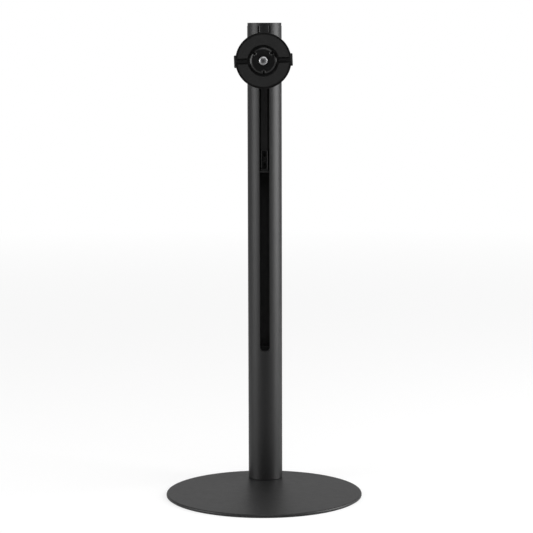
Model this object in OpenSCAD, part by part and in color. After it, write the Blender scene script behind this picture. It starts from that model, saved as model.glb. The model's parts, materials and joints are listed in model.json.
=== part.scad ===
// Portable monitor stand: a slotted round post on a round base plate. A carriage slides
// in the post and carries a tilting, turning head with a camera stud.
// Origin: centre of the base plate, on the table. +Z up, the stud points along -Y.

/* [Base] */
// Diameter of the base plate
base_d = 152; // [120:1:200]
// Thickness of the base plate
base_t = 2.2; // [2:0.1:6]
// Chamfer around the plate's two edges
base_edge = 0.4; // [0.1:0.1:0.8]
// Thickness of the non-slip pad under the plate
pad_t = 0.5; // [0.4:0.1:2]
// How far the pad is set back from the plate's rim
pad_inset = 1; // [0.5:0.5:10]
// Distance of the post from the plate's rear rim
post_rim_gap = 11.2; // [4:0.1:30]

/* [Base screws] */
// Number of screws through the plate
screw_count = 3; // [2:1:5]
// Radius of the circle they stand on
screw_circle_r = 6.8; // [5.5:0.1:7.2]
// Shank diameter
screw_d = 3.8; // [3:0.1:4.4]
// Head diameter
screw_head_d = 7; // [6:0.1:7.6]
// Height of the countersunk head
screw_head_h = 1.6; // [1:0.1:1.8]
// Straight rim of the countersunk head
screw_rim = 0.2; // [0.1:0.1:0.6]
// Length of a screw
screw_l = 14; // [8:1:18]

/* [Post] */
// Outer diameter of the tube
tube_d = 27; // [26:0.1:34]
// Wall of the tube
tube_wall = 2; // [1.5:0.1:2.4]
// Height of the tube's upper end above the table
tube_top_z = 363; // [320:1:420]
// Width of the slot
slot_w = 7.7; // [7:0.1:8.2]
// Height of the slot's lower end above the table
slot_foot_z = 107.1; // [60:0.1:130]
// Corner radius at the slot's lower end
slot_corner_r = 3; // [1:0.1:3.4]
// Height of the foot plug
plug_h = 18; // [16:1:40]

/* [Cap] */
// Height of the cap's visible lip
cap_lip_h = 2.4; // [1.5:0.1:5]
// How far the lip is smaller than the tube, on the radius
cap_inset = 0.22; // [0:0.02:0.6]
// Chamfer of the lip's upper edge
cap_edge = 0.3; // [0.1:0.1:0.8]
// Depth of the cap's plug in the tube
cap_plug_h = 6; // [3:0.1:6.4]
// Width of the cap's tongue
tongue_w = 7.7; // [5:0.1:8]
// Length of the tongue below the tube's upper end
tongue_h = 4.9; // [2:0.1:5.4]
// Chamfer along the tongue's sides
tongue_edge = 0.6; // [0.2:0.1:1]
// How far the tongue's face lies behind the tube's surface
tongue_inset = 0.22; // [0:0.02:0.4]
// How far the tongue reaches up into the lip
tongue_root = 1; // [0.2:0.1:1.2]
// Gap between the tongue and its notch
notch_gap = 0.85; // [0.3:0.05:1]
// Corner radius of the notch
notch_r = 1.2; // [0.4:0.1:1.8]

/* [Guide channel] */
// Inner width of the channel
channel_w = 13.2; // [12.8:0.1:13.6]
// Inner depth of the channel, front to back
channel_d = 10.8; // [10.6:0.1:12.4]
// Distance of the channel's front inner face in front of the post's axis
channel_front = 7.6; // [7.4:0.1:8]
// Wall behind the channel
channel_wall = 1.6; // [1:0.1:2.4]
// Width of the two grooves along the channel's rear wall
track_w = 0.8; // [0.4:0.1:1.2]
// Depth of these grooves
track_depth = 0.5; // [0.2:0.1:0.6]
// Distance between the two grooves
track_gap = 3.6; // [2:0.1:8]
// How far the channel's lips stand into the slot, each side
liner_lip = 0.2; // [0.1:0.05:0.5]
// Height of the stop block
stop_h = 9; // [6:0.5:20]
// Height of the lugs that snap the stop block into the channel
stop_lug_h = 5; // [3:0.5:6]
// How far the lugs reach into the channel's side walls
stop_lug = 1.8; // [0.8:0.1:2]
// Height of a rubber bumper
bumper_h = 3; // [1.5:0.5:3]

/* [Carriage] */
// Height of the carriage above the head's axis
carriage_above = 14; // [13.5:0.5:15]
// Width of the cover strip
strip_w = 5; // [4.6:0.1:5.8]
// How far the strip's face lies behind the tube's foremost line
strip_recess = 0.6; // [0.3:0.1:1.5]
// Chamfer at the strip's lower end
strip_ledge = 1; // [0.4:0.1:1.6]
// Height of the carriage below the window
window_foot = 3; // [2.6:0.1:12]
// How far the thumb piece lies behind the strip's face
thumb_recess = 0.5; // [0.2:0.1:1]
// Diameter of a glide button
glide_d = 4.4; // [3:0.1:6]
// Thickness of a glide button
glide_t = 1; // [0.6:0.1:1.4]
// Distance of the buttons' centres from the slider's ends
glide_end = 4; // [3:0.5:8]
// Distance of the buttons' centres in front of the post's axis
glide_front = 0.7; // [0:0.1:1.5]
// Free length of the leaf spring
leaf_l = 34; // [20:1:38]
// Width of the leaf spring
leaf_w = 7; // [4:0.5:8]
// Thickness of the leaf spring
leaf_t = 0.4; // [0.2:0.05:0.5]
// Rise of its bow
leaf_rise = 1.2; // [0.8:0.1:1.4]

/* [Height lock] */
// Height of the window
window_h = 14.1; // [13.6:0.1:15]
// Width of the window
window_w = 3.8; // [3.4:0.1:4]
// Distance of the window's middle below the head's axis
window_below = 78.05; // [66:0.05:90]
// Height of the thumb piece
thumb_h = 5.4; // [4:0.1:6]
// Travel of the thumb slider each way from its middle
lock_travel = 3.5; // [2:0.1:3.6]
// Height of the slider's inner body
lock_body_h = 9; // [8:0.5:9.5]
// Width of the slider's inner body
lock_body_w = 8; // [5:0.5:8.4]
// Slope of the wedge between slider and brake shoe
wedge_slope = 0.07; // [0.03:0.01:0.08]
// Distance of the wedge's middle in front of the post's axis
wedge_front = 2.7; // [2:0.1:4]
// Number of grooves across the thumb piece
grip_count = 3; // [1:1:4]
// Depth of these grooves, and half their width
grip_depth = 0.35; // [0.1:0.05:0.45]

/* [Neck] */
// Width of the arm where it passes the slot
neck_w = 5.8; // [4.5:0.1:6]
// Height of the arm where it passes the slot
neck_h = 12; // [9:0.5:12]
// Width of the arm's foot in the carriage
neck_foot_w = 11; // [8:0.5:11]
// Height of the arm's foot
neck_foot_h = 26; // [20:1:26]
// Thickness of the arm's foot
neck_foot_t = 3; // [2:0.1:4]
// Diameter of a neck screw
neck_screw_d = 3; // [2:0.1:3.4]
// Diameter of its head
neck_screw_head_d = 5.5; // [4.5:0.1:6]
// Thickness of its head
neck_screw_head_t = 2.4; // [1.5:0.1:3]
// Spacing of the two neck screws
neck_screw_gap = 19; // [14:0.5:19]

/* [Tilt] */
// Distance of the tilt axis in front of the tube
tilt_reach = 7.3; // [7:0.1:14]
// Radius of the lug around the tilt axis
lug_r = 6; // [5:0.1:6.5]
// Width of the lug
lug_w = 9; // [7:0.1:10]
// Wall of a fork cheek
cheek_t = 4.5; // [4:0.1:6]
// Height of a fork cheek where it leaves the housing
cheek_h = 17; // [14:0.5:19]
// How far a cheek's round end stands out beyond the lug
cheek_over = 0.5; // [0.1:0.1:0.6]
// Thickness of a friction washer
tilt_washer_t = 0.5; // [0.3:0.1:1]
// How far a friction washer is smaller than the lug, on the radius
tilt_washer_inset = 0.4; // [0:0.1:1]
// Diameter of the tilt screw
tilt_screw_d = 5; // [3:0.1:5.4]
// Diameter of the screw's head, and of its nut
tilt_head_d = 8.6; // [7:0.1:9]
// Thickness of the screw's head, and of its nut
tilt_head_t = 1.8; // [1:0.1:2.4]
// Thickness of a cap over the screw's end
tilt_cap_t = 0.9; // [0.5:0.1:1.2]

/* [Head] */
// Distance of the head's axis below the tube's upper end
head_drop = 26.3; // [24:0.1:30]
// Diameter of the head plate
head_d = 43; // [36:0.5:50]
// Thickness of the head plate
head_t = 6; // [5:0.1:8]
// Chamfer of the plate's front edge
head_edge = 1.3; // [0.4:0.1:2]
// Chamfer of the plate's rear edge
head_back_edge = 0.6; // [0.2:0.1:1.6]
// Width across the two ears
ear_span = 45; // [44:0.5:52]
// Height of an ear
ear_h = 9.6; // [5:0.1:14]
// Thickness of an ear
ear_t = 3.8; // [2:0.1:4]
// How far an ear lies behind the plate's front face
ear_set = 1; // [0.2:0.1:1]
// Turn of the head in the photographed position
head_roll = 2.2; // [-10:0.1:10]
// Thickness of the face pads
face_pad_t = 1.5; // [0.8:0.1:3]
// Width of the groove between the pads
groove_w = 4.6; // [2:0.1:8]
// Rim left free around the pads
pad_rim = 1.6; // [1.4:0.1:3]
// Diameter of the recess in the middle of the plate and its pads
recess_d = 24.2; // [22:0.1:28]
// Depth of the step around the ring nut
recess_step = 0.5; // [0.2:0.1:2]
// Depth of the pocket that holds the ring nut
recess_depth = 4; // [3:0.1:4.2]

/* [Stud and pivot] */
// Diameter of the stud: the 1/4 inch thread of cameras
stud_d = 6.35; // [6.35:0.01:6.35]
// How far the stud stands out of the pads
stud_out = 5.5; // [4:0.1:8]
// Length of the root that is screwed into the shaft
stud_root_l = 7; // [4:0.5:9]
// Diameter of that root
stud_root_d = 6; // [5:0.1:6.2]
// Diameter of the relieved neck between root and thread
stud_neck_d = 5.2; // [5:0.1:6]
// Chamfer of the stud's tip
stud_tip = 0.7; // [0.3:0.1:1]
// Size of the hex socket in the stud, across flats
hex_af = 3; // [2:0.1:4]
// Depth of the hex socket
hex_depth = 3; // [1:0.1:5]
// Diameter of the ring nut
ring_d = 20.4; // [16:0.1:21.5]
// Thickness of the ring nut
ring_t = 5; // [3:0.1:5.2]
// Chamfer of the ring nut
ring_edge = 1.1; // [0.4:0.1:1.6]
// Width of a spanner notch
spanner_w = 2.3; // [1.5:0.1:3]
// Depth of a spanner notch
spanner_depth = 2.6; // [1:0.1:3.4]
// Angle between the vertical and the two upper notches
spanner_angle = 49.5; // [40:0.5:80]
// How far the shaft's end lies behind the ring nut's face
shaft_recess = 1; // [0.5:0.1:2]
// Diameter of the pivot shaft
pivot_d = 8; // [7.8:0.1:8.4]
// Wall of the bush around it
bush_wall = 1.2; // [0.8:0.1:1.6]
// Diameter of the housing
housing_d = 25; // [22:0.5:30]
// Thickness of the housing's front wall
housing_wall = 4.3; // [3:0.1:5]
// Chamfer of the housing's two edges
housing_edge = 0.8; // [0.2:0.1:2]
// Thickness of the washer behind the head plate
pivot_washer_t = 0.5; // [0.3:0.1:1]
// Diameter of the washer behind the head plate
pivot_washer_d = 18; // [14:0.5:20]
// Thickness of the wave washer
wave_t = 0.7; // [0.4:0.1:1]
// Thickness of the pivot nut
pivot_nut_t = 2.2; // [1.5:0.1:3]
// Diameter of the pivot nut
pivot_nut_d = 11.6; // [11:0.1:12]

/* [Clearances] */
// Running clearance around a shaft, on the radius
run_gap = 0.05; // [0.02:0.01:0.1]
// Clearance between sliding pieces
slide_gap = 0.3; // [0.25:0.05:0.4]
// Clearance of pieces that are fitted into each other
seat_gap = 0.1; // [0.02:0.01:0.2]

/* [Hidden] */
$fn = 96;

CHARCOAL = [0.20, 0.20, 0.205];
BLACK = [0.08, 0.08, 0.085];
RUBBER = [0.13, 0.13, 0.13];
STEEL = [0.72, 0.72, 0.74];
BRASS = [0.72, 0.60, 0.32];

// how far a cut runs past the face it opens, and a piece into the one it is fused to
over = 1;

// heights above the table
plate_top_z = pad_t + base_t;
plug_top_z = plate_top_z + plug_h;
cap_plug_z = tube_top_z - cap_plug_h;
stop_top_z = slot_foot_z - seat_gap;
head_z = tube_top_z - head_drop;
window_z = head_z - window_below;
carriage_foot_z = window_z - window_h / 2 - window_foot;
carriage_top_z = head_z + carriage_above;
leaf_z = (window_z + head_z) / 2;

// the post's cross-section, seen from above with the post's axis at the origin
tube_r = tube_d / 2;
post_y = base_d / 2 - post_rim_gap - tube_r;
bore_r = tube_r - tube_wall;
liner_r = bore_r - seat_gap;
channel_back = channel_d - channel_front;
liner_opening = slot_w - 2 * liner_lip;
core_w = channel_w - 2 * slide_gap;
core_front = channel_front - slide_gap;
core_back = channel_back - slide_gap;
strip_front = tube_r - strip_recess;
glide_proud = slide_gap - seat_gap;
neck_screw_l = core_front + core_back - slide_gap - seat_gap;

// the height lock
lock_gap = slide_gap / 2;
lock_cavity_w = lock_body_w + 2 * slide_gap;
lock_cavity_h = lock_body_h + 2 * lock_travel + 2 * slide_gap;
shoe_back = channel_back - slide_gap - wedge_slope * lock_travel;
thumb_front = strip_front - thumb_recess;

// the head, along its own axis: 0 is the tilt axis and the front is positive
tilt_y = post_y - tube_r - tilt_reach;
fork_inner = lug_w + 2 * (tilt_washer_t + 2 * seat_gap);
fork_outer = fork_inner + 2 * cheek_t;
housing_back = lug_r + slide_gap;
nut_room = pivot_nut_t + wave_t + 2 * seat_gap;
housing_front = housing_back + nut_room + housing_wall;
plate_back = housing_front + pivot_washer_t + seat_gap;
plate_front = plate_back + head_t;
face_front = plate_front + face_pad_t;
pocket_floor = plate_front - recess_depth;
ring_front = pocket_floor + ring_t;
shaft_front = ring_front - shaft_recess;
stud_front = face_front + stud_out;
bush_r = pivot_d / 2 + run_gap + bush_wall;
pocket_r = pivot_nut_d / 2 + slide_gap;

// Puts what is drawn around the Z axis onto the post.
module on_post() {
  translate([0, post_y, 0]) children();
}

// Puts what is drawn in the head's frame (X right, Y up, Z to the front) into its place.
module on_tilt() {
  translate([0, tilt_y, head_z]) rotate([90, 0, 0]) children();
}

// The same for what turns with the head.
module on_head() {
  on_tilt() rotate([0, 0, head_roll]) children();
}

// A cylinder from z0 to z1 with a chamfer at its upper edge, and one at its lower edge.
module chamfered(r, z0, z1, top = 0, foot = 0) {
  rotate_extrude() polygon([
    [0, z0], [r - foot, z0], [r, z0 + foot], [r, z1 - top], [r - top, z1], [0, z1]
  ]);
}

// A ring between two radii.
module ring(r_out, r_in, z0, z1) {
  rotate_extrude() translate([r_in, z0]) square([r_out - r_in, z1 - z0]);
}

// An upright cut of width w, open at its top, with round lower corners.
module slot_outline(w, r, z0, z1) {
  translate([-w / 2, z0 + r]) square([w, z1 - z0 - r]);
  translate([r - w / 2, z0]) square([w - 2 * r, 2 * r]);
  for (side = [-1, 1]) translate([side * (w / 2 - r), z0 + r]) circle(r = r);
}

// Extrudes an outline drawn in X and Z backwards through the post, from y0 to y1.
module through_post(y0, y1) {
  translate([0, y1, 0]) rotate([90, 0, 0]) linear_extrude(y1 - y0) children();
}

// A bar of width w across the middle, from y0 to y1 and from z0 to z1.
module bar(w, y0, y1, z0, z1) {
  translate([-w / 2, y0, z0]) cube([w, y1 - y0, z1 - z0]);
}

// Extrudes an outline drawn in Y and Z to a width across the middle.
module across(w) {
  rotate([90, 0, 90]) translate([0, 0, -w / 2]) linear_extrude(w) children();
}

// Places of the base screws around the post's axis.
module at_base_screws() {
  for (i = [0:screw_count - 1])
    rotate([0, 0, 90 + i * 360 / screw_count]) translate([screw_circle_r, 0, 0]) children();
}

// One countersunk screw, its head's flat side at z = 0.
module countersunk(clear = 0) {
  r = screw_d / 2 + clear;
  head_r = screw_head_d / 2 + clear;
  rotate_extrude() polygon([
    [0, -clear], [head_r, -clear], [head_r, screw_rim], [r, screw_head_h + clear],
    [r, screw_l + 2 * clear], [0, screw_l + 2 * clear]
  ]);
}

module base_plate() {
  color(CHARCOAL) difference() {
    chamfered(base_d / 2, pad_t, plate_top_z, base_edge, base_edge);
    on_post() at_base_screws() translate([0, 0, pad_t]) countersunk(run_gap);
  }
}

module base_pad() {
  color(RUBBER) cylinder(r = base_d / 2 - pad_inset, h = pad_t);
}

module base_screws() {
  color(STEEL) on_post() at_base_screws() translate([0, 0, pad_t]) countersunk();
}

module foot_plug() {
  color(STEEL) on_post() difference() {
    translate([0, 0, plate_top_z]) cylinder(r = liner_r, h = plug_h);
    at_base_screws() translate([0, 0, pad_t]) countersunk(run_gap);
  }
}

module post_tube() {
  notch_w = tongue_w + 2 * notch_gap;
  color(CHARCOAL) on_post() difference() {
    translate([0, 0, plate_top_z]) cylinder(r = tube_r, h = tube_top_z - plate_top_z, $fn = 180);
    translate([0, 0, plate_top_z - over]) cylinder(r = bore_r, h = tube_top_z, $fn = 180);
    through_post(-tube_r - over, 0)
      slot_outline(slot_w, slot_corner_r, slot_foot_z, tube_top_z + over);
    through_post(-tube_r - over, 0)
      slot_outline(notch_w, notch_r, tube_top_z - tongue_h - notch_gap, tube_top_z + over);
  }
}

// The channel's cross-section.
module liner_section() {
  outer_w = channel_w + 2 * stop_lug + 2 * seat_gap;
  difference() {
    intersection() {
      circle(r = liner_r);
      translate([-outer_w / 2, -liner_r]) square([outer_w, liner_r + channel_back + channel_wall]);
    }
    translate([-channel_w / 2, -channel_front]) square([channel_w, channel_d]);
    for (side = [-1, 1]) translate([side * track_gap / 2 - track_w / 2, 0])
      square([track_w, channel_back + track_depth]);
    translate([-liner_opening / 2, -tube_r]) square([liner_opening, tube_r]);
  }
}

module slot_liner() {
  lug_z0 = stop_top_z - stop_h;
  color(BLACK) on_post() difference() {
    translate([0, 0, plug_top_z]) linear_extrude(cap_plug_z - plug_top_z) liner_section();
    bar(tube_d, -stop_lug - seat_gap, stop_lug + seat_gap, lug_z0, lug_z0 + stop_lug_h);
  }
}

module lower_stop() {
  z0 = stop_top_z - stop_h;
  inner_w = channel_w - 2 * seat_gap;
  color(BLACK) on_post() {
    bar(inner_w, -channel_front + seat_gap, channel_back - seat_gap, z0, stop_top_z);
    bar(channel_w + 2 * stop_lug, -stop_lug, stop_lug, z0 + seat_gap, z0 + stop_lug_h - seat_gap);
  }
}

// A rubber pad in the channel.
module bumper(z0, z1) {
  w = channel_w - 2 * seat_gap;
  color(RUBBER) on_post() bar(w, -channel_front + seat_gap, channel_back - seat_gap, z0, z1);
}

module lower_bumper() {
  bumper(stop_top_z, stop_top_z + bumper_h);
}

module upper_bumper() {
  bumper(carriage_top_z + slide_gap, cap_plug_z);
}

// The tongue's cross-section: a piece of the tube's wall with chamfered sides.
module tongue_section() {
  face_r = tube_r - tongue_inset;
  side_x = tongue_w / 2;
  edge_x = side_x - tongue_edge;
  edge_y = sqrt(face_r * face_r - edge_x * edge_x);
  intersection() {
    difference() {
      circle(r = face_r);
      circle(r = bore_r - seat_gap);
    }
    polygon([
      [-side_x, 0], [side_x, 0], [side_x, tongue_edge - edge_y], [edge_x, -edge_y], [edge_x, -tube_r],
      [-edge_x, -tube_r], [-edge_x, -edge_y], [-side_x, tongue_edge - edge_y]
    ]);
  }
}

module top_cap() {
  color(CHARCOAL) on_post() {
    chamfered(tube_r - cap_inset, tube_top_z, tube_top_z + cap_lip_h, cap_edge);
    translate([0, 0, cap_plug_z]) cylinder(r = bore_r - seat_gap, h = cap_plug_h + over);
    translate([0, 0, tube_top_z - tongue_h]) linear_extrude(tongue_h + tongue_root) tongue_section();
  }
}

// Places of the glide buttons: near the slider's ends and at its middle, on each side.
module at_glides() {
  low = carriage_foot_z + glide_end;
  high = carriage_top_z - glide_end;
  for (side = [-1, 1], z = [low, (low + high) / 2, high])
    translate([0, -glide_front, z]) rotate([0, side * 90, 0]) translate([0, 0, core_w / 2]) children();
}

// A glide button, and the seat that it is pressed into.
module glide_button(top) {
  translate([0, 0, glide_proud - glide_t]) cylinder(r = glide_d / 2, h = glide_t - glide_proud + top);
}

module carriage_core() {
  lock_z0 = window_z - lock_cavity_h / 2;
  foot_z0 = head_z - neck_foot_h / 2 - seat_gap;
  color(BLACK) on_post() difference() {
    bar(core_w, -core_front, core_back, carriage_foot_z, carriage_top_z);
    bar(lock_cavity_w, -core_front - over, core_back + over, lock_z0, lock_z0 + lock_cavity_h);
    bar(neck_foot_w + 2 * seat_gap, -core_front - over, -core_front + neck_foot_t, foot_z0,
        foot_z0 + neck_foot_h + 2 * seat_gap);
    bar(leaf_w + 2 * slide_gap, core_back - leaf_rise - leaf_t, core_back + over,
        leaf_z - leaf_l / 2 - slide_gap, leaf_z + leaf_l / 2 + slide_gap);
    at_glides() glide_button(over);
    at_neck_screws() neck_screw(run_gap);
  }
}

module cover_strip() {
  color(BLACK) on_post() difference() {
    z1 = head_z - neck_h / 2 - slide_gap;
    across(strip_w) polygon([
      [-core_front, carriage_foot_z], [-core_front, z1], [-strip_front, z1],
      [-strip_front, carriage_foot_z + strip_ledge], [-strip_front + strip_ledge, carriage_foot_z]
    ]);
    bar(window_w, -tube_r, 0, window_z - window_h / 2, window_z + window_h / 2);
  }
}

module glide_pads() {
  color("ivory") on_post() at_glides() glide_button(glide_proud);
}

module leaf_spring() {
  bow_r = (leaf_l * leaf_l / 4 + leaf_rise * leaf_rise) / (2 * leaf_rise);
  top_y = core_back + slide_gap / 2;
  color(STEEL) on_post() translate([0, top_y - bow_r, leaf_z]) across(leaf_w) intersection() {
    difference() {
      circle(r = bow_r, $fn = 720);
      circle(r = bow_r - leaf_t, $fn = 720);
    }
    translate([0, -leaf_l / 2]) square([bow_r + over, leaf_l]);
  }
}

module neck_arm() {
  color(STEEL) difference() {
    union() {
      on_post() bar(neck_foot_w, -core_front, -core_front + neck_foot_t,
                    head_z - neck_foot_h / 2, head_z + neck_foot_h / 2);
      on_post() bar(neck_w, -tube_r - tilt_reach, over - core_front,
                    head_z - neck_h / 2, head_z + neck_h / 2);
      translate([0, tilt_y, head_z]) rotate([0, 90, 0]) translate([0, 0, -lug_w / 2])
        cylinder(r = lug_r, h = lug_w);
    }
    translate([0, tilt_y, head_z]) rotate([0, 90, 0]) translate([0, 0, -lug_w])
      cylinder(r = tilt_screw_d / 2 + run_gap, h = 2 * lug_w);
    on_post() at_neck_screws() neck_screw(run_gap);
  }
}

// Places of the neck screws: their heads sit in the slider's back.
module at_neck_screws() {
  for (side = [-1, 1]) translate([0, core_back, head_z + side * neck_screw_gap / 2])
    rotate([90, 0, 0]) children();
}

// One neck screw, sunk in the slider's back at z = 0, and with a clearance its counterbored hole.
module neck_screw(clear = 0) {
  mouth = clear > 0 ? -over : slide_gap;
  translate([0, 0, mouth])
    cylinder(r = neck_screw_head_d / 2 + clear, h = slide_gap + neck_screw_head_t + clear - mouth);
  translate([0, 0, slide_gap]) cylinder(r = neck_screw_d / 2 + clear, h = neck_screw_l + clear);
}

module neck_screws() {
  color(STEEL) on_post() at_neck_screws() neck_screw();
}

// Depth of the wedge face at height z above the window's middle.
function wedge_at(z) = -wedge_front - wedge_slope * z;

module lock_slider() {
  half = lock_body_h / 2;
  thumb_w = window_w - 2 * lock_gap;
  groove_gap = thumb_h / (grip_count + 1);
  color(BLACK) on_post() translate([0, 0, window_z]) difference() {
    union() {
      across(lock_body_w) polygon([
        [-core_front + slide_gap, -half], [wedge_at(-half), -half], [wedge_at(half), half],
        [-core_front + slide_gap, half]
      ]);
      bar(thumb_w, -thumb_front, over - core_front, -thumb_h / 2, thumb_h / 2);
    }
    for (i = [1:grip_count]) translate([0, 0, i * groove_gap - thumb_h / 2])
      bar(thumb_w + over, -thumb_front - over, grip_depth - thumb_front, -grip_depth, grip_depth);
  }
}

module brake_shoe() {
  half = lock_cavity_h / 2 - slide_gap;
  color(BLACK) on_post() translate([0, 0, window_z]) across(lock_body_w) polygon([
    [wedge_at(-half) + lock_gap, -half], [shoe_back, -half], [shoe_back, half],
    [wedge_at(half) + lock_gap, half]
  ]);
}

// The tilt screw's line: X becomes the drawing's Z.
module on_tilt_axis() {
  rotate([0, 90, 0]) children();
}

module tilt_fork() {
  cheek_r = lug_r + cheek_over;
  seat_x = fork_outer / 2 - tilt_head_t - tilt_cap_t - 2 * seat_gap;
  color(BLACK) on_tilt() difference() {
    union() {
      chamfered(housing_d / 2, housing_back, housing_front, housing_edge, housing_edge);
      for (side = [-1, 1]) mirror([side < 0 ? 1 : 0, 0, 0]) translate([fork_inner / 2, 0, 0]) {
        on_tilt_axis() cylinder(r = cheek_r, h = cheek_t);
        rotate([90, 0, 90]) linear_extrude(cheek_t) polygon([
          [-cheek_r, 0], [cheek_r, 0],
          [cheek_h / 2, housing_back + over], [-cheek_h / 2, housing_back + over]
        ]);
      }
    }
    cylinder(r = bush_r, h = housing_front + over);
    cylinder(r = pocket_r, h = housing_back + nut_room);
    on_tilt_axis() translate([0, 0, -fork_outer])
      cylinder(r = tilt_screw_d / 2 + run_gap, h = 2 * fork_outer);
    for (side = [0, 1]) on_tilt_axis() mirror([0, 0, side]) translate([0, 0, seat_x])
      cylinder(r = tilt_head_d / 2 + seat_gap, h = fork_outer);
  }
}

module tilt_screw() {
  tip = fork_outer / 2 - tilt_cap_t - 2 * seat_gap;
  color(STEEL) on_tilt() on_tilt_axis() {
    translate([0, 0, -tip]) cylinder(r = tilt_screw_d / 2, h = 2 * tip);
    translate([0, 0, tip - tilt_head_t]) cylinder(r = tilt_head_d / 2, h = tilt_head_t);
  }
}

module tilt_nut() {
  tip = fork_outer / 2 - tilt_cap_t - 2 * seat_gap;
  color(STEEL) on_tilt() on_tilt_axis()
    ring(tilt_head_d / 2, tilt_screw_d / 2 + run_gap, -tip, -tip + tilt_head_t);
}

module tilt_washers() {
  color(BRASS) on_tilt() on_tilt_axis() for (side = [0, 1]) mirror([0, 0, side])
    ring(lug_r - tilt_washer_inset, tilt_screw_d / 2 + run_gap, lug_w / 2 + seat_gap,
         lug_w / 2 + seat_gap + tilt_washer_t);
}

module tilt_caps() {
  color(BLACK) on_tilt() on_tilt_axis() for (side = [0, 1]) mirror([0, 0, side])
    translate([0, 0, fork_outer / 2 - tilt_cap_t]) cylinder(r = tilt_head_d / 2, h = tilt_cap_t);
}

module pivot_bush() {
  color(BRASS) on_tilt()
    ring(bush_r, pivot_d / 2 + run_gap, housing_front - housing_wall, housing_front);
}

module head_plate() {
  color(BLACK) on_head() difference() {
    union() {
      chamfered(head_d / 2, plate_back, plate_front, head_edge, head_back_edge);
      bar(ear_span, -ear_h / 2, ear_h / 2, plate_front - ear_set - ear_t, plate_front - ear_set);
    }
    translate([0, 0, plate_front - recess_step]) cylinder(r = recess_d / 2, h = head_t);
    translate([0, 0, pocket_floor]) cylinder(r = ring_d / 2 + slide_gap, h = head_t);
    cylinder(r = pivot_d / 2 + run_gap, h = face_front);
  }
}

// A face pad: half a ring, cut back by the groove.
module face_pad(side) {
  pad_r = head_d / 2 - pad_rim;
  color(RUBBER) on_head() rotate([0, 0, side > 0 ? 0 : 180]) intersection() {
    ring(pad_r, recess_d / 2, plate_front, face_front);
    bar(2 * head_d, groove_w / 2, head_d, plate_front - over, face_front + over);
  }
}

module upper_pad() {
  face_pad(1);
}

module lower_pad() {
  face_pad(-1);
}

module spanner_ring() {
  color(BLACK) on_head() difference() {
    chamfered(ring_d / 2, pocket_floor, ring_front, ring_edge);
    cylinder(r = pivot_d / 2 + run_gap, h = stud_front);
    for (angle = [-90, 90 - spanner_angle, 90 + spanner_angle]) rotate([0, 0, angle])
      translate([ring_d / 2 - spanner_depth + spanner_w / 2, 0, pocket_floor - over]) {
        cylinder(r = spanner_w / 2, h = ring_t + 2 * over);
        translate([0, -spanner_w / 2, 0]) cube([spanner_depth, spanner_w, ring_t + 2 * over]);
      }
  }
}

module camera_stud() {
  color(STEEL) on_head() difference() {
    union() {
      translate([0, 0, shaft_front - stud_root_l]) cylinder(r = stud_root_d / 2, h = stud_root_l);
      translate([0, 0, shaft_front]) cylinder(r = stud_neck_d / 2, h = face_front - shaft_front);
      chamfered(stud_d / 2, face_front, stud_front, stud_tip);
    }
    translate([0, 0, stud_front - hex_depth])
      cylinder(r = hex_af / sqrt(3), h = hex_depth + over, $fn = 6);
  }
}

module pivot_shaft() {
  color(STEEL) on_head() difference() {
    shaft_back = housing_back + seat_gap;
    translate([0, 0, shaft_back]) cylinder(r = pivot_d / 2, h = shaft_front - shaft_back);
    translate([0, 0, shaft_front - stud_root_l])
      cylinder(r = stud_root_d / 2 + run_gap, h = stud_root_l + over);
  }
}

module pivot_washer() {
  color(BRASS) on_head()
    ring(pivot_washer_d / 2, pivot_d / 2 + run_gap, plate_back - pivot_washer_t, plate_back);
}

module wave_washer() {
  z1 = housing_back + nut_room - seat_gap;
  color(STEEL) on_head() ring(pivot_nut_d / 2, pivot_d / 2 + run_gap, z1 - wave_t, z1);
}

module pivot_nut() {
  z1 = housing_back + nut_room - seat_gap - wave_t;
  color(STEEL) on_head() ring(pivot_nut_d / 2, pivot_d / 2 + run_gap, z1 - pivot_nut_t, z1);
}

base_plate();
base_pad();
base_screws();
foot_plug();
post_tube();
slot_liner();
lower_stop();
lower_bumper();
upper_bumper();
top_cap();
carriage_core();
cover_strip();
glide_pads();
leaf_spring();
neck_arm();
neck_screws();
lock_slider();
brake_shoe();
tilt_fork();
tilt_screw();
tilt_nut();
tilt_washers();
tilt_caps();
pivot_bush();
head_plate();
upper_pad();
lower_pad();
spanner_ring();
camera_stud();
pivot_shaft();
pivot_washer();
wave_washer();
pivot_nut();
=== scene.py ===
"""Looks of a portable monitor stand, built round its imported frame.

A slotted round post stands on a round plate. A carriage slides in the post and carries a
tilting, turning head with a threaded stud. Every length is in metres, MM is a millimetre.
"""

import json
import logging
import math
from dataclasses import dataclass, field
from enum import Enum, IntEnum
from typing import Callable, Sequence

import bmesh
import bpy
from mathutils import Matrix, Vector


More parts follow.
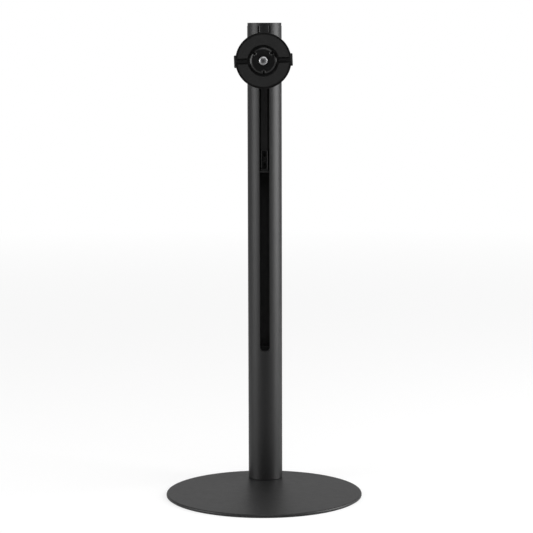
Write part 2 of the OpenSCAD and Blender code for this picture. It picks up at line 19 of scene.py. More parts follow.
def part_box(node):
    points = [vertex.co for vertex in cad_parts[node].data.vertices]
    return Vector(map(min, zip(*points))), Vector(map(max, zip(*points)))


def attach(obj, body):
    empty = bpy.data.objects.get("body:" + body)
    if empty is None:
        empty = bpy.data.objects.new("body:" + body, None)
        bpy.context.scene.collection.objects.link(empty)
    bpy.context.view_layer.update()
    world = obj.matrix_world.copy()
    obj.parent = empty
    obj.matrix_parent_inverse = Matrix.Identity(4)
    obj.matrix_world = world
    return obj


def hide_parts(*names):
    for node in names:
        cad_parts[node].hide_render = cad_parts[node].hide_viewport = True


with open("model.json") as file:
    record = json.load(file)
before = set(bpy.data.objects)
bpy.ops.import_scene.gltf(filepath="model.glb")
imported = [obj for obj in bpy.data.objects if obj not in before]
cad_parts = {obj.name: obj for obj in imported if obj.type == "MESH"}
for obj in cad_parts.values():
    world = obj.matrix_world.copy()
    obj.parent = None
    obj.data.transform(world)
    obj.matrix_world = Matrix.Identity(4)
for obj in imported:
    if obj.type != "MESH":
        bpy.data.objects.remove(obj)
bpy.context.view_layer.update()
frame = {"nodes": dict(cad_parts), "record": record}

LOG = logging.getLogger("monitor_stand")
MM = 0.001
HEAD_ROLL = math.radians(2.2)
WELD = 0.002 * MM
OVERRUN = 1 * MM
UPRIGHT = 0.99
SIDEWAYS = 0.5
NOISE_ROUGHNESS = 0.55
NOISE_LOW = 0.3
NOISE_HIGH = 0.7
WHITE = (1.0, 1.0, 1.0, 1.0)

PlaceTest = Callable[[Vector, Vector], bool]
Socket = bpy.types.NodeSocket
Triple = tuple[float, float, float]


class Slot(str, Enum):
    """The record's material slots."""

    CHARCOAL_METAL = "charcoal_metal"
    BLACK_PLASTIC = "black_plastic"
    LINER_PLASTIC = "liner_plastic"
    PAD_RUBBER = "pad_rubber"
    FOOT_RUBBER = "foot_rubber"
    BRIGHT_STEEL = "bright_steel"
    PLAIN_STEEL = "plain_steel"
    BLACK_STEEL = "black_steel"
    BUSH_BRASS = "bush_brass"
    GLIDE_PLASTIC = "glide_plastic"
    BRAKE_COMPOUND = "brake_compound"


class Body(str, Enum):
    """The bodies of the frame that pieces ride on."""

    STAND = "stand"
    CARRIAGE = "carriage"
    LOCK_SLIDER = "lock_slider"
    KNUCKLE = "knuckle"
    HEAD = "head"


class Cut(str, Enum):
    """What a boolean does with its tool."""

    AWAY = "DIFFERENCE"
    FUSE = "UNION"
    COMMON = "INTERSECT"


class Steps(IntEnum):
    """How many faces a rounded edge has across."""

    TINY = 2
    SMALL = 3
    MIDDLE = 4
    WIDE = 6
    CORNER = 12


def is_top(middle: Vector, normal: Vector) -> bool:
    """Says whether a face, given by its middle and normal, looks up along Z."""
    return normal.z > UPRIGHT


def is_any(first: Vector, second: Vector) -> bool:
    """Takes every face."""
    return True


def about(middle: float, size: float) -> tuple[float, float]:
    """Gives the two ends of a span from its middle and size."""
    return middle - size / 2, middle + size / 2


def turned(angle: float, axis: str = "Z") -> Matrix:
    """Gives the matrix of a turn about an axis."""
    return Matrix.Rotation(angle, 4, axis)


class Piece:
    """One mesh on the bench, shaped by edit-mode operators and applied modifiers."""

    def __init__(self, name: str, obj: bpy.types.Object) -> None:
        """Takes an object in hand.

        Args:
            name: The piece's name.
            obj: The object that holds its mesh.
        """
        self.obj = obj
        obj.name = name
        obj.data.name = name

    @classmethod
    def added(cls, name: str) -> "Piece":
        """Takes the primitive added last, and puts its place into its mesh.

        Args:
            name: The piece's name.

        Returns:
            The new piece.
        """
        piece = cls(name, bpy.context.active_object)
        piece.settle()
        return piece

    @classmethod
    def disc(
        cls,
        name: str,
        radius: float,
        low: float,
        high: float,
        centre: tuple[float, float] = (0.0, 0.0),
        sides: int = 96,
        turn: float = 0.0,
    ) -> "Piece":
        """Adds a cylinder along Z.

        Args:
            name: The piece's name.
            radius: Its radius.
            low: Height of its lower end.
            high: Height of its upper end.
            centre: X and Y of its axis.
            sides: Number of its side faces.
            turn: Turn of its first side about Z.

        Returns:
            The new piece.
        """
        bpy.ops.mesh.primitive_cylinder_add(
            vertices=sides,
            radius=radius,
            depth=high - low,
            location=(centre[0], centre[1], (low + high) / 2),
            rotation=(0, 0, turn),
        )
        return cls.added(name)

    @classmethod
    def pin(cls, name: str, radius: float, half: float, y: float, z: float, sides: int = 64) -> "Piece":
        """Adds a cylinder along X, as long on both sides.

        Args:
            name: The piece's name.
            radius: Its radius.
            half: Half its length.
            y: Y of its axis.
            z: Z of its axis.
            sides: Number of its side faces.

        Returns:
            The new piece.
        """
        bpy.ops.mesh.primitive_cylinder_add(
            vertices=sides,
            radius=radius,
            depth=2 * half,
            location=(0, y, z),
            rotation=(0, math.pi / 2, 0),
        )
        return cls.added(name)

    @classmethod
    def block(cls, name: str, low: Sequence[float], high: Sequence[float]) -> "Piece":
        """Adds a block between two corners.

        Args:
            name: The piece's name.
            low: Its lowest corner.
            high: Its highest corner.

        Returns:
            The new piece.
        """
        middle = [(a + b) / 2 for a, b in zip(low, high)]
        size = [b - a for a, b in zip(low, high)]
        bpy.ops.mesh.primitive_cube_add(size=1, location=middle, scale=size)
        return cls.added(name)

    @classmethod
    def bar(cls, name: str, width: float, depth: Sequence[float], height: Sequence[float]) -> "Piece":
        """Adds a block about X = 0, given its width, its two ends along Y and its two along Z."""
        return cls.block(name, (-width / 2, depth[0], height[0]), (width / 2, depth[1], height[1]))

    def hold(self) -> None:
        """Makes this piece the only selected and the active one."""
        if bpy.context.object and bpy.context.object.mode != "OBJECT":
            bpy.ops.object.mode_set(mode="OBJECT")
        bpy.ops.object.select_all(action="DESELECT")
        self.obj.select_set(True)
        bpy.context.view_layer.objects.active = self.obj

    def settle(self) -> None:
        """Puts the object's place, turn and scale into its mesh."""
        self.hold()
        bpy.ops.object.transform_apply(location=True, rotation=True, scale=True)

    def pick(self, mode: str, test: PlaceTest) -> int:
        """Selects faces or edges of the mesh in edit mode by their place.

        Args:
            mode: FACE, whose test gets a face's middle and normal, or EDGE, whose test gets
                an edge's two ends.
            test: Says whether to take one.

        Returns:
            How many were taken.
        """
        self.hold()
        bpy.ops.object.mode_set(mode="EDIT")
        bpy.ops.mesh.select_mode(type=mode)
        bpy.ops.mesh.select_all(action="DESELECT")
        mesh = bmesh.from_edit_mesh(self.obj.data)
        if mode == "FACE":
            chosen = [f for f in mesh.faces if test(f.calc_center_median(), f.normal)]
        else:
            chosen = [e for e in mesh.edges if test(e.verts[0].co, e.verts[1].co)]
        for item in chosen:
            item.select_set(True)
        bmesh.update_edit_mesh(self.obj.data)
        return len(chosen)

    def done(self) -> None:
        """Leaves edit mode."""
        bpy.ops.object.mode_set(mode="OBJECT")

    def raise_top(self, depth: float) -> None:
        """Extrudes the top along Z.

        Args:
            depth: How far it goes.
        """
        self.pick("FACE", is_top)
        bpy.ops.mesh.extrude_region_move(TRANSFORM_OT_translate={"value": (0, 0, depth)})
        self.done()

    def taper(
        self, test: PlaceTest, depth: float, share: tuple[float, float], centre: Sequence[float]
    ) -> None:
        """Extrudes the chosen faces along Z and resizes their far end.

        Args:
            test: Chooses the faces by middle and normal.
            depth: How far they go.
            share: Size of the far end along X and Y, where 1 keeps it.
            centre: Point that the resizing leaves in place.
        """
        self.pick("FACE", test)
        bpy.ops.mesh.extrude_region_move(TRANSFORM_OT_translate={"value": (0, 0, depth)})
        bpy.ops.transform.resize(value=(share[0], share[1], 1), center_override=tuple(centre))
        self.done()

    def bevel(self, test: PlaceTest, width: float, segments: Steps) -> None:
        """Rounds the chosen edges.

        Args:
            test: Chooses the edges by their two ends.
            width: Width of the rounding along each side.
            segments: Number of its faces across.
        """
        if self.pick("EDGE", test):
            bpy.ops.mesh.bevel(offset=width, segments=segments, affect="EDGES", clamp_overlap=True)
        self.done()

    def slice(self, point: Sequence[float], normal: Sequence[float]) -> None:
        """Cuts the mesh along a plane, drops the side that the normal points to and closes it.

        Args:
            point: A point of the plane.
            normal: The plane's normal.
        """
        self.pick("FACE", is_any)
        bpy.ops.mesh.bisect(
            plane_co=point, plane_no=normal, use_fill=True, clear_outer=True, threshold=WELD
        )
        self.done()

    def run(self, kind: str, **settings: object) -> None:
        """Adds a modifier and applies it.

        Args:
            kind: The modifier's type.
            **settings: Its settings.
        """
        self.hold()
        modifier = self.obj.modifiers.new(kind.lower(), kind)
        for key, value in settings.items():
            setattr(modifier, key, value)
        bpy.ops.object.modifier_apply(modifier=modifier.name)

    def work(self, cut: Cut, tool: "Piece", keep: bool = False) -> None:
        """Cuts, fuses or intersects this piece with another.

        Args:
            cut: What to do.
            tool: The other piece.
            keep: Whether the other piece stays.
        """
        self.run("BOOLEAN", operation=cut.value, object=tool.obj, solver="EXACT")
        if not keep:
            tool.drop()

    def bore(
        self,
        radius: float,
        low: float,
        high: float,
        centre: tuple[float, float] = (0.0, 0.0),
        sides: int = 64,
        turn: float = 0.0,
    ) -> None:
        """Cuts a hole along Z, whose shape is given as for a disc."""
        self.work(Cut.AWAY, Piece.disc("bore", radius, low, high, centre, sides, turn))

    def ease(self, width: float, segments: Steps = Steps.TINY, angle: float = 35.0) -> None:
        """Rounds every sharp edge.

        Args:
            width: Width of the rounding.
            segments: Number of its faces across.
            angle: Least angle in degrees between two faces of a sharp edge.
        """
        self.run(
            "BEVEL",
            width=width,
            segments=segments,
            limit_method="ANGLE",
            angle_limit=math.radians(angle),
            use_clamp_overlap=True,
            miter_outer="MITER_ARC",
        )

    def weld(self) -> None:
        """Merges doubles and turns all faces outwards."""
        self.pick("FACE", is_any)
        bpy.ops.mesh.remove_doubles(threshold=WELD)
        bpy.ops.mesh.normals_make_consistent(inside=False)
        self.done()

    def smooth(self, angle: float = 30.0) -> None:
        """Shades the piece smooth, with flat faces kept flat.

        Args:
            angle: Edges sharper than this, in degrees, stay sharp.
        """
        self.hold()
        bpy.ops.object.shade_smooth_by_angle(angle=math.radians(angle))
        self.run("WEIGHTED_NORMAL", keep_sharp=True, weight=100)

    def place(self, where: Matrix) -> None:
        """Moves the mesh into its place.

        Args:
            where: The frame in which it was drawn.
        """
        self.obj.matrix_world = where
        self.settle()

    def copy(self, name: str, where: Matrix) -> "Piece":
        """Copies the piece with a mesh of its own.

        Args:
            name: The copy's name.
            where: How the copy lies to the original.

        Returns:
            The copy.
        """
        self.hold()
        bpy.ops.object.duplicate(linked=False)
        piece = Piece(name, bpy.context.active_object)
        piece.place(where)
        return piece

    def drop(self) -> None:
        """Removes the piece."""
        mesh = self.obj.data
        bpy.data.objects.remove(self.obj)
        bpy.data.meshes.remove(mesh)


class Graph:
    """The nodes of one material or of the world."""

    def __init__(self, owner: bpy.types.Material | bpy.types.World, output: str) -> None:
        """Empties the owner's nodes but for an output.

        Args:
            owner: The material or world.
            output: Type of its output node.
        """
        owner.use_nodes = True
        self.tree = owner.node_tree
        self.tree.nodes.clear()
        self.output = self.add(output)

    def add(
        self, kind: str, inputs: dict[str | int, object] | None = None, **settings: object
    ) -> bpy.types.Node:
        """Adds a node.

        Args:
            kind: The node's type.
            inputs: Values, or sockets to link, by the name or number of the input.
            **settings: The node's own settings.

        Returns:
            The new node.
        """
        node = self.tree.nodes.new(kind)
        for key, value in settings.items():
            setattr(node, key, value)
        for key, value in (inputs or {}).items():
            if isinstance(value, Socket):
                self.tree.links.new(value, node.inputs[key])
            else:
                node.inputs[key].default_value = value
        return node

    def noise(self, vector: Socket, size: float, detail: float) -> Socket:
        """Adds a noise from 0 to 1 whose blotches have a given size, with some octaves of detail."""
        inputs = {"Vector": vector, "Scale": 1 / size, "Detail": detail, "Roughness": NOISE_ROUGHNESS}
        return self.add("ShaderNodeTexNoise", inputs).outputs[0]

    def map(self, value: Socket, source: tuple[float, float], target: tuple[float, float]) -> Socket:
        """Maps a value from one range to another, and holds it there.

        Args:
            value: The value.
            source: The range that it comes from.
            target: The range that it goes to.

        Returns:
            The mapped value.
        """
        inputs = {"Value": value, "From Min": source[0], "From Max": source[1]}
        inputs.update({"To Min": target[0], "To Max": target[1]})
        return self.add("ShaderNodeMapRange", inputs).outputs[0]

    def spread(self, value: Socket, low: float, high: float) -> Socket:
        """Maps a noise to the range from low to high."""
        return self.map(value, (NOISE_LOW, NOISE_HIGH), (low, high))

    def blend(self, share: Socket, first: object, second: object) -> Socket:
        """Mixes two colours by a share from 0 to 1."""
        inputs = {"Factor": share, "A": first, "B": second}
        return self.add("ShaderNodeMix", inputs, data_type="RGBA").outputs["Result"]

    def show(self, shader: Socket) -> None:
        """Links a shader to the output's surface."""
        self.tree.links.new(shader, self.output.inputs["Surface"])


@dataclass(frozen=True)
class Finish:
    """A surface finish: colour and gloss that vary a little, over a fine grain."""

    slot: Slot
    colour: Triple
    roughness: float
    metallic: float = 0.0
    specular: float = 0.5
    sheen: float = 0.0
    grain: float = 0.3 * MM
    relief: float = 0.01 * MM
    grain_detail: float = 2.0
    mottle: float = 0.08
    mottle_size: float = 14 * MM
    mottle_detail: float = 4.0
    gloss_spread: float = 0.05
    gloss_fineness: float = 3.0
    gloss_detail: float = 3.0

    def tint(self, shift: float) -> tuple[float, float, float, float]:
        """Gives the colour, made lighter or darker by a share, with its alpha."""
        return (*(c * (1 + shift) for c in self.colour), 1.0)

    def coordinates(self, graph: Graph) -> Socket:
        """Gives the coordinates in which the pattern lies."""
        return graph.add("ShaderNodeTexCoord").outputs["Object"]

    def rings(self, graph: Graph, vector: Socket) -> Socket | None:
        """Gives the relief of turned rings, in metres: none on a plain finish."""
        return None

    def make(self) -> bpy.types.Material:
        """Builds the material.

        Returns:
            The material.
        """
        material = bpy.data.materials.new(self.slot.value)
        graph = Graph(material, "ShaderNodeOutputMaterial")
        vector = self.coordinates(graph)
        blotch = graph.noise(vector, self.mottle_size, self.mottle_detail)
        fine = graph.noise(vector, self.grain, self.grain_detail)
        shade = graph.blend(graph.spread(blotch, 0.0, 1.0), self.tint(-self.mottle), self.tint(self.mottle))
        speck = graph.blend(graph.spread(fine, 0.0, 1.0), shade, self.tint(2 * self.mottle))
        gloss = graph.spread(
            graph.noise(vector, self.mottle_size / self.gloss_fineness, self.gloss_detail),
            self.roughness - self.gloss_spread,
            self.roughness + self.gloss_spread,
        )
        level = graph.spread(fine, -self.relief, self.relief)
        rings = self.rings(graph, vector)
        if rings is not None:
            level = graph.add("ShaderNodeMath", {0: level, 1: rings}, operation="ADD").outputs[0]
        bump = graph.add("ShaderNodeBump", {"Height": level, "Distance": 1.0, "Strength": 1.0})
        shader = graph.add(
            "ShaderNodeBsdfPrincipled",
            {
                "Base Color": speck,
                "Metallic": self.metallic,
                "Roughness": gloss,
                "Specular IOR Level": self.specular,
                "Sheen Weight": self.sheen,
                "Normal": bump.outputs["Normal"],
            },
        )
        graph.show(shader.outputs["BSDF"])
        return material


@dataclass(frozen=True)
class TurnedFinish(Finish):
    """A turned finish: fine rings around an axis."""

    origin: Triple = (0.0, 0.0, 0.0)
    rotation: Triple = (0.0, 0.0, 0.0)
    ring_gap: float = 0.12 * MM
    ring_relief: float = 0.002 * MM
    ring_scale: float = 0.3
    ring_wander: float = 1.5
    ring_detail: float = 2.0

    def coordinates(self, graph: Graph) -> Socket:
        """Gives coordinates whose Z axis is the turning axis.

        Args:
            graph: The material's nodes.

        Returns:
            The coordinates' socket.
        """
        inputs = {
            "Vector": super().coordinates(graph),
            "Location": self.origin,
            "Rotation": self.rotation,
        }
        return graph.add("ShaderNodeMapping", inputs, vector_type="TEXTURE").outputs[0]

    def rings(self, graph: Graph, vector: Socket) -> Socket | None:
        """Gives the relief of turned rings, in metres.

        Args:
            graph: The material's nodes.
            vector: The coordinates.

        Returns:
            The relief's socket.
        """
        inputs = {
            "Vector": vector,
            "Scale": self.ring_scale / self.ring_gap,
            "Distortion": self.ring_wander,
            "Detail": self.ring_detail,
        }
        wave = graph.add("ShaderNodeTexWave", inputs, wave_type="RINGS", rings_direction="Z")
        return graph.map(wave.outputs["Fac"], (0.0, 1.0), (0.0, self.ring_relief))


class FinishShelf:
    """All finishes of the stand, by slot."""

    def __init__(self, head_axis: Vector) -> None:
        """Makes every material.

        Args:
            head_axis: A point of the axis on which the head turns.
        """
        turned = {"origin": tuple(head_axis), "rotation": (math.pi / 2, 0.0, 0.0)}
        finishes = [
            Finish(Slot.CHARCOAL_METAL, (0.012, 0.012, 0.0123), 0.42, grain=0.4 * MM, relief=0.006 * MM,
                   mottle=0.06, gloss_spread=0.015),
            Finish(Slot.BLACK_PLASTIC, (0.0036, 0.0036, 0.0037), 0.5, specular=0.3, grain=0.2 * MM,
                   relief=0.008 * MM),
            Finish(Slot.LINER_PLASTIC, (0.03, 0.03, 0.0305), 0.6, specular=0.3, grain=0.35 * MM,
                   relief=0.006 * MM),
            Finish(Slot.PAD_RUBBER, (0.0145, 0.0145, 0.0145), 0.8, specular=0.25, sheen=0.04, grain=0.16 * MM,
                   relief=0.012 * MM, mottle=0.1),
            Finish(Slot.FOOT_RUBBER, (0.015, 0.015, 0.015), 0.9, specular=0.2, grain=0.4 * MM,
                   relief=0.03 * MM, mottle=0.2),
            TurnedFinish(Slot.BRIGHT_STEEL, (0.48, 0.48, 0.49), 0.42, metallic=1.0, grain=0.1 * MM,
                         relief=0.0005 * MM, mottle=0.03, **turned),
            Finish(Slot.PLAIN_STEEL, (0.5, 0.5, 0.51), 0.36, metallic=1.0, grain=0.2 * MM,
                   relief=0.002 * MM),
            TurnedFinish(Slot.BLACK_STEEL, (0.0032, 0.0032, 0.0033), 0.34, specular=0.6, grain=0.2 * MM,
                         relief=0.004 * MM, ring_relief=0.0015 * MM, **turned),
            Finish(Slot.BUSH_BRASS, (0.6, 0.48, 0.25), 0.3, metallic=1.0, grain=0.15 * MM,
                   relief=0.001 * MM),
            Finish(Slot.GLIDE_PLASTIC, (0.8, 0.78, 0.72), 0.35, grain=0.5 * MM, relief=0.003 * MM,
                   mottle=0.03),
            Finish(Slot.BRAKE_COMPOUND, (0.012, 0.012, 0.012), 0.75, grain=0.25 * MM, relief=0.02 * MM,
                   mottle=0.2),
        ]
        self.materials = {f.slot: f.make() for f in finishes}

    def dress(self, piece: Piece, body: Body, slot: Slot, *nodes: str) -> None:
        """Finishes a piece, and puts it on its body in place of CAD nodes.

        Args:
            piece: The piece, in its place.
            body: The body that it rides on.
            slot: The slot whose finish it takes.
            *nodes: The nodes that it stands for.
        """
        piece.weld()
        piece.smooth()
        piece.obj.data.materials.clear()
        piece.obj.data.materials.append(self.materials[slot])
        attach(piece.obj, body.value)
        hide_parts(*nodes)
        faces = len(piece.obj.data.polygons)
        LOG.info("%s: %d faces, %s, on %s", piece.obj.name, faces, slot.value, body.value)

    def dress_nodes(self, subparts: list[dict]) -> None:
        """Gives the CAD nodes that stay their finishes.

        Args:
            subparts: The record's list of nodes and their slots.
        """
        for row in subparts:
            node = frame["nodes"][row["node"]]
            if node.hide_render:
                continue
            slot = Slot(row["material_slot"])
            node.data.materials.clear()
            node.data.materials.append(self.materials[slot])
            LOG.info("%s: CAD node, %s", row["node"], slot.value)


@dataclass
class Base:
    """The round plate and the pad under it."""

    shelf: FinishShelf
    top_round: float = 1.2 * MM
    foot_round: float = 0.4 * MM
    pad_round: float = 0.12 * MM
    screw_radius: float = 1.95 * MM
    screw_head_radius: float = 3.55 * MM
    screw_head_height: float = 1.6 * MM
    screw_circle: float = 6.8 * MM
    screw_count: int = 3
    screw_sides: int = 32
    plate_sides: int = 256
    pad_sides: int = 192

    def countersink(self, low: float, high: float, x: float, y: float) -> Piece:
        """Makes a cutter for a countersunk hole that opens downwards.

        Args:
            low: Height of the plate's underside.
            high: Height of its top.
            x: X of the hole.
            y: Y of the hole.

        Returns:
            The cutter.
        """
        tool = Piece.disc("countersink", self.screw_head_radius, low - OVERRUN, low, (x, y), self.screw_sides)
        share = self.screw_radius / self.screw_head_radius
        tool.taper(is_top, self.screw_head_height, (share, share), (x, y, low))
        tool.raise_top(high - low - self.screw_head_height + OVERRUN)
        return tool

    def plate(self, post: Vector) -> None:
        """Models the plate with its countersunk holes.

        Args:
            post: The post's axis.
        """
        low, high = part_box("base_plate")
        radius = min(-low.x, high.x, -low.y, high.y)
        plate = Piece.disc("plate_disc", radius, low.z, high.z, sides=self.plate_sides)
        plate.bevel(lambda a, b: min(a.z, b.z) > high.z - WELD, self.top_round, Steps.WIDE)
        plate.bevel(lambda a, b: max(a.z, b.z) < low.z + WELD, self.foot_round, Steps.SMALL)
        for index in range(self.screw_count):
            angle = math.pi / 2 + index * math.tau / self.screw_count
            x = post.x + self.screw_circle * math.cos(angle)
            y = post.y + self.screw_circle * math.sin(angle)
            plate.work(Cut.AWAY, self.countersink(low.z, high.z, x, y))
        self.shelf.dress(plate, Body.STAND, Slot.CHARCOAL_METAL, "base_plate")

    def pad(self) -> None:
        """Models the non-slip sheet under the plate."""
        low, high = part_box("base_pad")
        pad = Piece.disc("foot_sheet", high.x, low.z, high.z, sides=self.pad_sides)
        pad.ease(self.pad_round)
        self.shelf.dress(pad, Body.STAND, Slot.FOOT_RUBBER, "base_pad")


@dataclass
class Post:
    """The slotted tube and its cap."""

    shelf: FinishShelf
    wall: float = 2 * MM
    slot_width: float = 7.7 * MM
    slot_foot: float = 107.1 * MM
    slot_corner: float = 3 * MM
    slot_round: float = 0.6 * MM
    edge: float = 0.15 * MM
    near: float = 0.05 * MM
    foot_round: float = 0.6 * MM
    notch_width: float = 10.1 * MM
    notch_depth: float = 5.75 * MM
    notch_corner: float = 1.2 * MM
    lip_round: float = 0.15 * MM
    plug_radius: float = 11.4 * MM
    plug_height: float = 6 * MM
    tongue_width: float = 8 * MM
    tongue_height: float = 4.9 * MM
    tongue_inset: float = 0.22 * MM
    tongue_root: float = 1 * MM
    tongue_bite: float = 0.25 * MM
    tongue_chamfer: float = 0.6 * MM
    tongue_near: float = 0.3 * MM
    cap_edge: float = 0.12 * MM
    sides: int = 80
    cap_sides: int = 128
    axis: Vector = field(init=False)
    radius: float = field(init=False)
    foot: float = field(init=False)
    top: float = field(init=False)

    def __post_init__(self) -> None:
        """Reads the tube's place from the frame."""
        low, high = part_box("post_tube")
        self.axis = Vector(((low.x + high.x) / 2, (low.y + high.y) / 2, 0))
        self.radius = (high.y - low.y) / 2
        self.foot = low.z
        self.top = high.z

    def cutter(self, width: float, corner: float, low: float) -> Piece:
        """Makes a cutter for an upright opening in the tube's front.

        Args:
            width: Width of the opening.
            corner: Radius of its lower corners.
            low: Height of its lower end.

        Returns:
            The cutter.
        """
        front = self.axis.y - self.radius - OVERRUN
        tool = Piece.bar("cutter", width, (front, self.axis.y), (low, self.top + OVERRUN))
        tool.bevel(lambda a, b: max(a.z, b.z) < low + WELD and abs(a.x - b.x) < WELD, corner, Steps.CORNER)
        return tool

    def on_slot_rim(self, a: Vector, b: Vector) -> bool:
        """Says whether an edge is part of the slot's outline on the tube's outer face.

        Args:
            a: One end of the edge.
            b: Its other end.

        Returns:
            True where it is.
        """
        for end in (a, b):
            outwards = math.hypot(end.x - self.axis.x, end.y - self.axis.y)
            aside = abs(end.x) > self.slot_width / 2 + self.near
            if aside or end.z < self.slot_foot - self.near or self.radius - outwards > self.near:
                return False
        return a.y < self.axis.y

    def tube(self) -> None:
        """Models the tube: a shell with a slot, a notch at the top and eased edges."""
        centre = (self.axis.x, self.axis.y)
        turn = math.pi / self.sides
        tube = Piece.disc("slotted_tube", self.radius, self.foot, self.top, centre, self.sides, turn)
        tube.bevel(lambda a, b: max(a.z, b.z) < self.foot + WELD, self.foot_round, Steps.SMALL)
        ends = (self.foot - OVERRUN, self.top + OVERRUN)
        tube.bore(self.radius - self.wall, *ends, centre, self.sides, turn)
        tube.work(Cut.AWAY, self.cutter(self.slot_width, self.slot_corner, self.slot_foot))
        tube.bevel(self.on_slot_rim, self.slot_round, Steps.MIDDLE)
        tube.work(Cut.AWAY, self.cutter(self.notch_width, self.notch_corner, self.top - self.notch_depth))
        tube.ease(self.edge, angle=40)
        self.shelf.dress(tube, Body.STAND, Slot.CHARCOAL_METAL, "post_tube")

    def tongue(self) -> Piece:
        """Models the cap's tongue: a curved leaf with chamfered sides.

        Returns:
            The tongue.
        """
        centre = (self.axis.x, self.axis.y)
        face = self.radius - self.tongue_inset
        low = self.top - self.tongue_height
        high = self.top + self.tongue_root
        tongue = Piece.disc("tongue", face, low, high, centre, self.sides)
        ends = (low - OVERRUN, high + OVERRUN)
        tongue.bore(self.plug_radius - self.tongue_bite, *ends, centre, self.sides)
        depth = (self.axis.y - self.radius - OVERRUN, self.axis.y - self.radius / 2)
        tongue.work(Cut.COMMON, Piece.bar("keep", self.tongue_width, depth, (low, high)))
        side = self.tongue_width / 2 - WELD
        corner = self.axis.y - math.sqrt(face**2 - side**2)
        tongue.bevel(
            lambda a, b: min(abs(a.x), abs(b.x)) > side
            and abs(a.z - b.z) > MM
            and max(a.y, b.y) < corner + self.tongue_near,
            self.tongue_chamfer,
            Steps.TINY,
        )
        return tongue

    def cap(self) -> None:
        """Models the cap: a rounded lip, its plug and the tongue."""
        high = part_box("top_cap")[1]
        centre = (self.axis.x, self.axis.y)
        cap = Piece.disc("end_cap", high.x, self.top, high.z, centre, self.cap_sides)
        cap.bevel(lambda a, b: min(a.z, b.z) > high.z - WELD, self.lip_round, Steps.SMALL)
        cap.work(Cut.FUSE, Piece.disc("plug", self.plug_radius, self.top - self.plug_height,
                                      self.top + OVERRUN, centre, self.sides))
        cap.work(Cut.FUSE, self.tongue())
        cap.ease(self.cap_edge, angle=50)
        self.shelf.dress(cap, Body.STAND, Slot.CHARCOAL_METAL, "top_cap")


